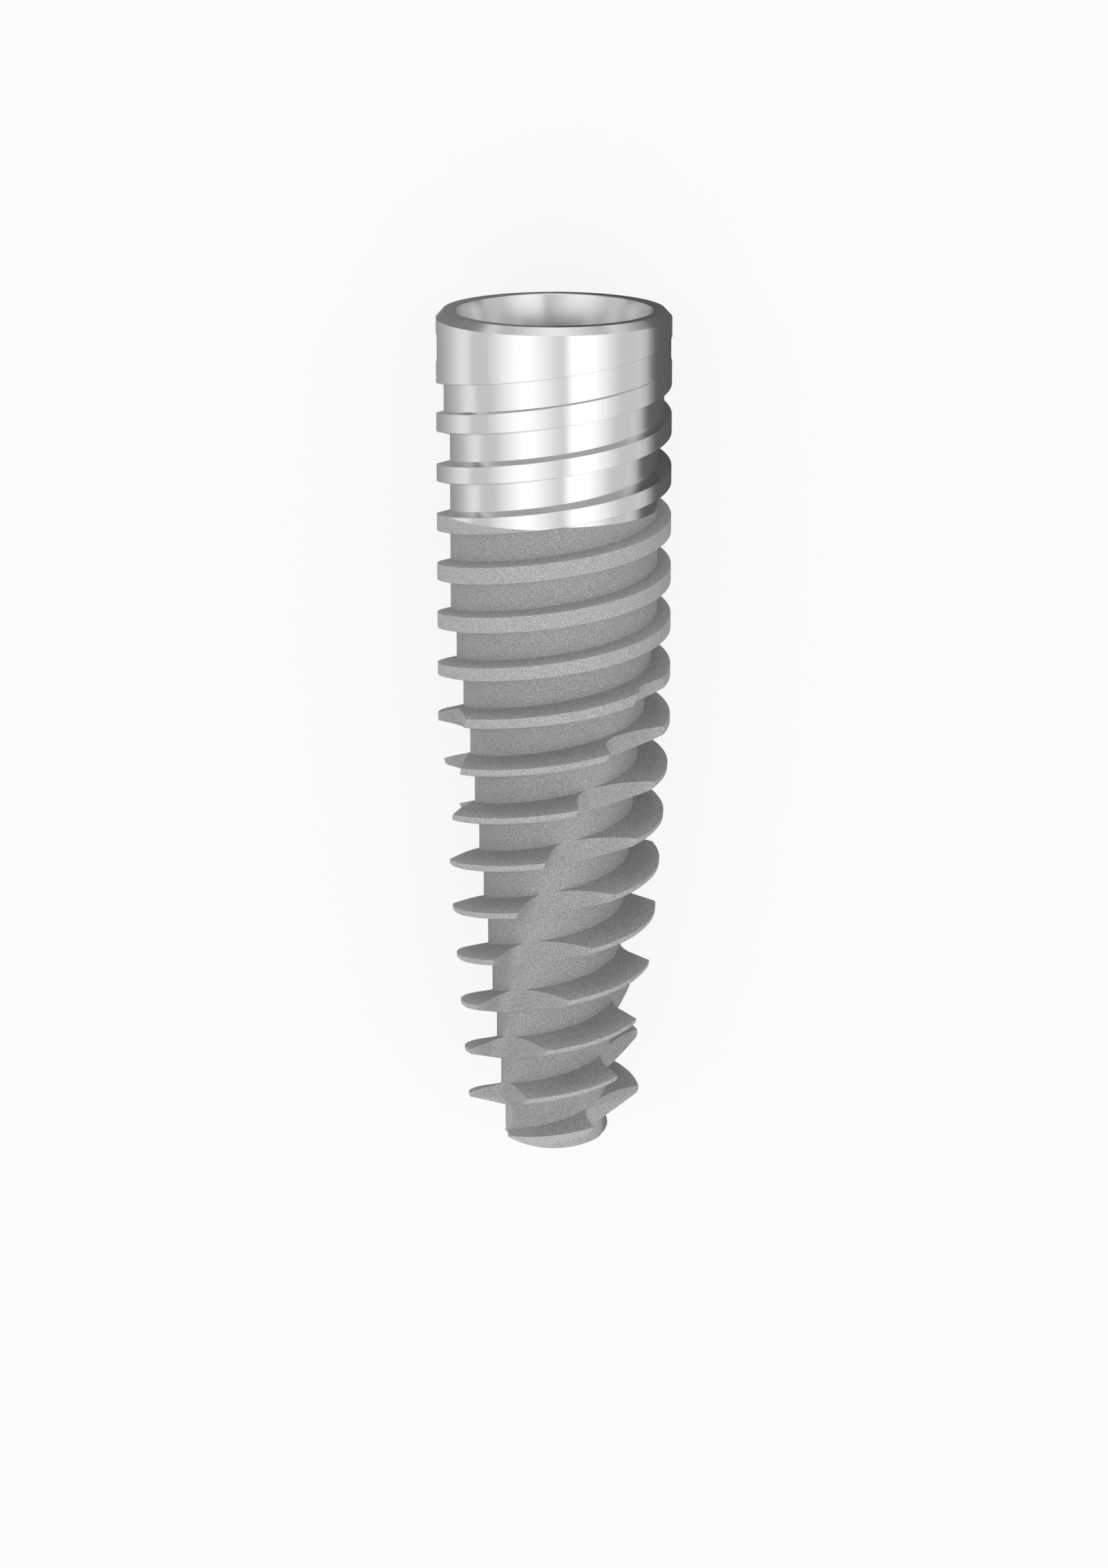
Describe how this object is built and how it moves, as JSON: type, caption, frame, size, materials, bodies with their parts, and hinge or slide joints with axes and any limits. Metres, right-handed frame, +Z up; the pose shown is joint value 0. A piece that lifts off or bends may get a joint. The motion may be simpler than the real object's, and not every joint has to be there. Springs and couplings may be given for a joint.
{
  "type": "dental implant",
  "caption": "Screw-shaped tooth root replacement with a smooth collar, a deepening tapered thread, cutting flutes at a domed tip and an open seat for an abutment.",
  "frame": {"origin": "middle of the ground area under the implant, which lies on its side", "axes": "+Y along the implant's axis from the tip to the rim, +Z up, +X to the right seen from above with the rim away from the viewer"},
  "size_m": [0.0034, 0.013, 0.0035],
  "materials": {
    "titanium": "titanium, turned bright on the collar and in the seat, blasted and etched to a fine matte grain on the thread"
  },
  "bodies": {
    "root": {"implant_body": "titanium"}
  },
  "joints": []
}
